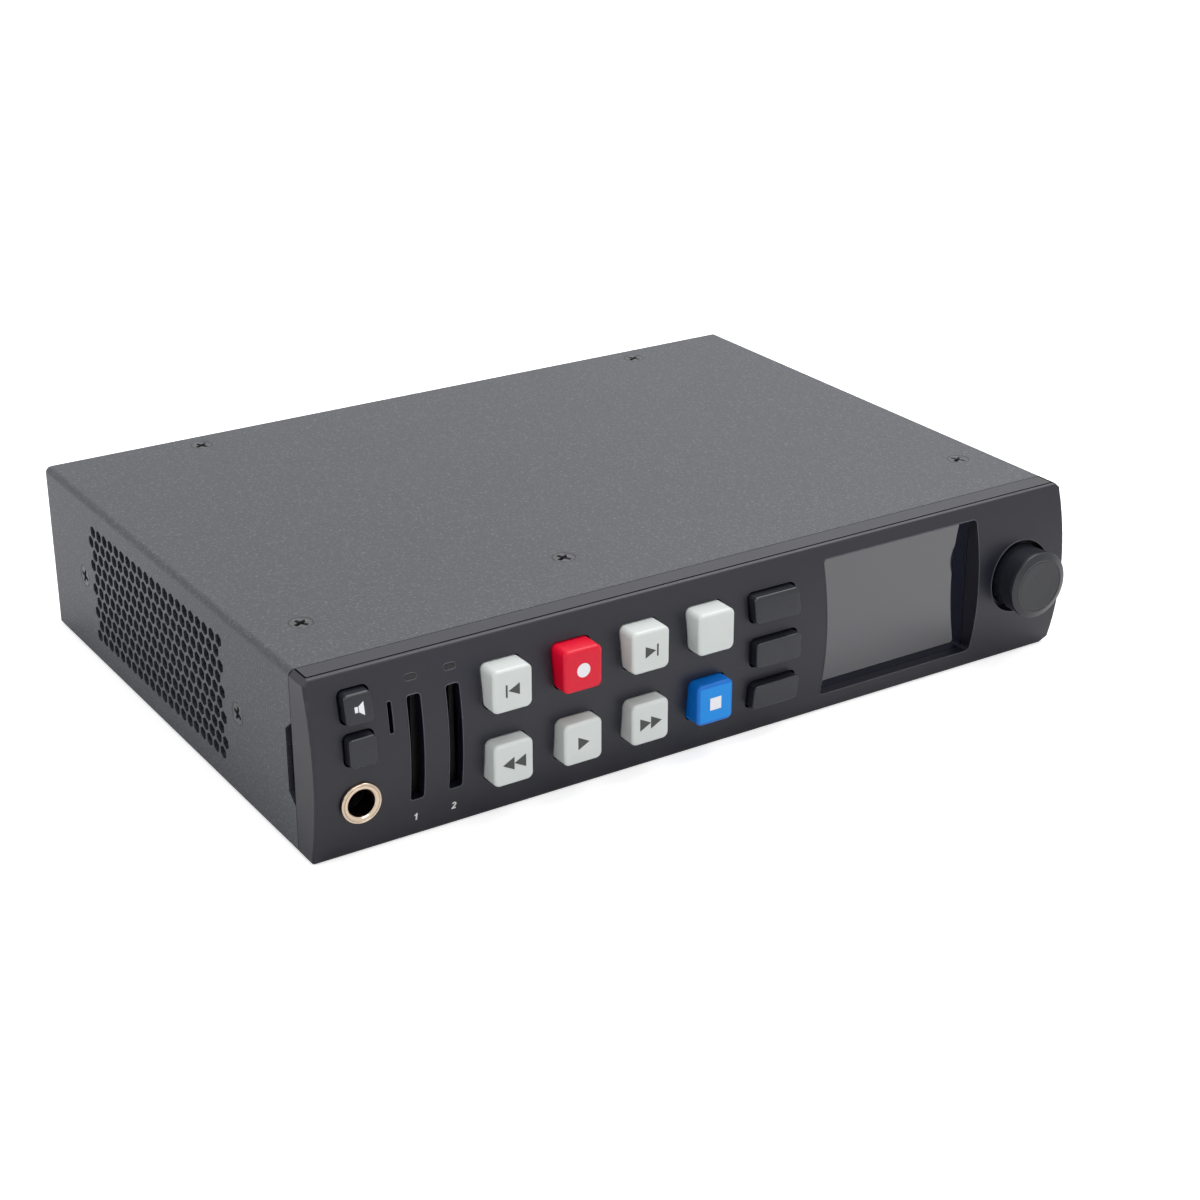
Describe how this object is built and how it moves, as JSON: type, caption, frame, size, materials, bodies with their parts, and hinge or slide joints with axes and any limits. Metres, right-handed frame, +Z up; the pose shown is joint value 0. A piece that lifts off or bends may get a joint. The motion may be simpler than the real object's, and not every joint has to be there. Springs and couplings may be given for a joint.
{
  "type": "professional video recorder",
  "caption": "Half-rack desktop video recorder with a curved front bezel, square transport keys, memory-card slots, a small display and a search knob.",
  "frame": {"origin": "centre of the flat underside of the case", "axes": "+X to the viewer's right along the front, +Y from the front to the rear, +Z up"},
  "size_m": [0.211, 0.1697, 0.0438],
  "materials": {
    "cover_paint": "textured powder coat",
    "bezel_plastic": "satin moulded plastic",
    "zinc_steel": "zinc plated sheet",
    "screw_steel": "plated screws",
    "key_white": "satin moulded plastic",
    "key_red": "satin moulded plastic",
    "key_blue": "satin moulded plastic",
    "key_dark": "satin moulded plastic",
    "knob_plastic": "satin",
    "display_glass": "clear",
    "display_panel": "gloss",
    "circuit_board": "solder mask",
    "black_plastic": "moulded",
    "nickel": "nickel plate",
    "shaft_steel": "turned",
    "chip_epoxy": "moulded epoxy",
    "black_aluminium": "anodised",
    "cell_steel": "stamped",
    "winding_copper": "wound",
    "capacitor_sleeve": "sleeve",
    "lamp_lens": "clear lens",
    "ribbon": "flat cable"
  },
  "bodies": {
    "case": {"top_cover": "cover_paint", "bottom_tray": "zinc_steel", "rear_panel": "cover_paint", "front_bracket": "zinc_steel", "front_bezel": "bezel_plastic", "display_window": "display_glass", "display_module": "display_panel", "front_board": "circuit_board", "side_board": "circuit_board", "board_spacers": "nickel", "key_switches": "black_plastic", "card_board": "circuit_board", "card_socket_1": "black_plastic", "card_socket_2": "black_plastic", "slot_lamps": "lamp_lens", "speaker": "black_plastic", "jack_housing": "black_plastic", "jack_sleeve": "nickel", "encoder_body": "cell_steel", "main_board": "circuit_board", "power_board": "circuit_board", "board_standoffs": "nickel", "board_screws": "screw_steel", "video_processor": "chip_epoxy", "heatsink": "black_aluminium", "cell_holder": "black_plastic", "coin_cell": "cell_steel", "transformer": "winding_copper", "power_capacitors": "capacitor_sleeve", "fan_frame": "black_plastic", "coax_jacks": "nickel", "hdmi_ports": "nickel", "usb_port": "nickel", "network_jack": "nickel", "remote_port": "nickel", "remote_jackscrews": "screw_steel", "power_inlet": "black_plastic", "inlet_pins": "nickel", "ribbon_cable": "ribbon", "ribbon_plugs": "black_plastic", "cover_screws": "screw_steel", "tray_screws": "screw_steel"},
    "key_skip_back": {"key_skip_back": "key_white"},
    "key_skip_forward": {"key_skip_forward": "key_white"},
    "key_input": {"key_input": "key_white"},
    "key_rewind": {"key_rewind": "key_white"},
    "key_play": {"key_play": "key_white"},
    "key_fast_forward": {"key_fast_forward": "key_white"},
    "key_record": {"key_record": "key_red"},
    "key_stop": {"key_stop": "key_blue"},
    "key_monitor": {"key_monitor": "key_dark"},
    "key_remote": {"key_remote": "key_dark"},
    "key_search": {"key_search": "key_dark"},
    "key_menu": {"key_menu": "key_dark"},
    "key_set": {"key_set": "key_dark"},
    "search_knob": {"search_knob": "knob_plastic", "knob_shaft": "shaft_steel"},
    "fan_rotor": {"fan_rotor": "black_plastic"},
    "card_ejector_1": {"card_ejector_1": "key_white"},
    "card_ejector_2": {"card_ejector_2": "key_white"}
  },
  "joints": [
    {"name": "key_skip_back_press", "type": "slide", "parent": "case", "child": "key_skip_back", "axis": [0, 1, 0], "range_m": [0, 0.0012], "stiffness_N_per_m": 900, "springref_m": -0.0006},
    {"name": "key_skip_forward_press", "type": "slide", "parent": "case", "child": "key_skip_forward", "axis": [0, 1, 0], "range_m": [0, 0.0012], "stiffness_N_per_m": 900, "springref_m": -0.0006},
    {"name": "key_input_press", "type": "slide", "parent": "case", "child": "key_input", "axis": [0, 1, 0], "range_m": [0, 0.0012], "stiffness_N_per_m": 900, "springref_m": -0.0006},
    {"name": "key_rewind_press", "type": "slide", "parent": "case", "child": "key_rewind", "axis": [0, 1, 0], "range_m": [0, 0.0012], "stiffness_N_per_m": 900, "springref_m": -0.0006},
    {"name": "key_play_press", "type": "slide", "parent": "case", "child": "key_play", "axis": [0, 1, 0], "range_m": [0, 0.0012], "stiffness_N_per_m": 900, "springref_m": -0.0006},
    {"name": "key_fast_forward_press", "type": "slide", "parent": "case", "child": "key_fast_forward", "axis": [0, 1, 0], "range_m": [0, 0.0012], "stiffness_N_per_m": 900, "springref_m": -0.0006},
    {"name": "key_record_press", "type": "slide", "parent": "case", "child": "key_record", "axis": [0, 1, 0], "range_m": [0, 0.0012], "stiffness_N_per_m": 900, "springref_m": -0.0006},
    {"name": "key_stop_press", "type": "slide", "parent": "case", "child": "key_stop", "axis": [0, 1, 0], "range_m": [0, 0.0012], "stiffness_N_per_m": 900, "springref_m": -0.0006},
    {"name": "key_monitor_press", "type": "slide", "parent": "case", "child": "key_monitor", "axis": [0, 1, 0], "range_m": [0, 0.0012], "stiffness_N_per_m": 900, "springref_m": -0.0006},
    {"name": "key_remote_press", "type": "slide", "parent": "case", "child": "key_remote", "axis": [0, 1, 0], "range_m": [0, 0.0012], "stiffness_N_per_m": 900, "springref_m": -0.0006},
    {"name": "key_search_press", "type": "slide", "parent": "case", "child": "key_search", "axis": [0, 1, 0], "range_m": [0, 0.0012], "stiffness_N_per_m": 900, "springref_m": -0.0006},
    {"name": "key_menu_press", "type": "slide", "parent": "case", "child": "key_menu", "axis": [0, 1, 0], "range_m": [0, 0.0012], "stiffness_N_per_m": 900, "springref_m": -0.0006},
    {"name": "key_set_press", "type": "slide", "parent": "case", "child": "key_set", "axis": [0, 1, 0], "range_m": [0, 0.0012], "stiffness_N_per_m": 900, "springref_m": -0.0006},
    {"name": "search_knob_turn", "type": "hinge", "parent": "case", "child": "search_knob", "pos_m": [0.0911, -0.0834, 0.02265], "axis": [0, -1, 0], "continuous": true},
    {"name": "fan_spin", "type": "hinge", "parent": "case", "child": "fan_rotor", "pos_m": [0.1, -0.0134, 0.0234], "axis": [1, 0, 0], "continuous": true},
    {"name": "card_ejector_1_push", "type": "slide", "parent": "case", "child": "card_ejector_1", "axis": [0, 1, 0], "range_m": [0, 0.0025], "stiffness_N_per_m": 300, "springref_m": -0.0004},
    {"name": "card_ejector_2_push", "type": "slide", "parent": "case", "child": "card_ejector_2", "axis": [0, 1, 0], "range_m": [0, 0.0025], "stiffness_N_per_m": 300, "springref_m": -0.0004}
  ]
}
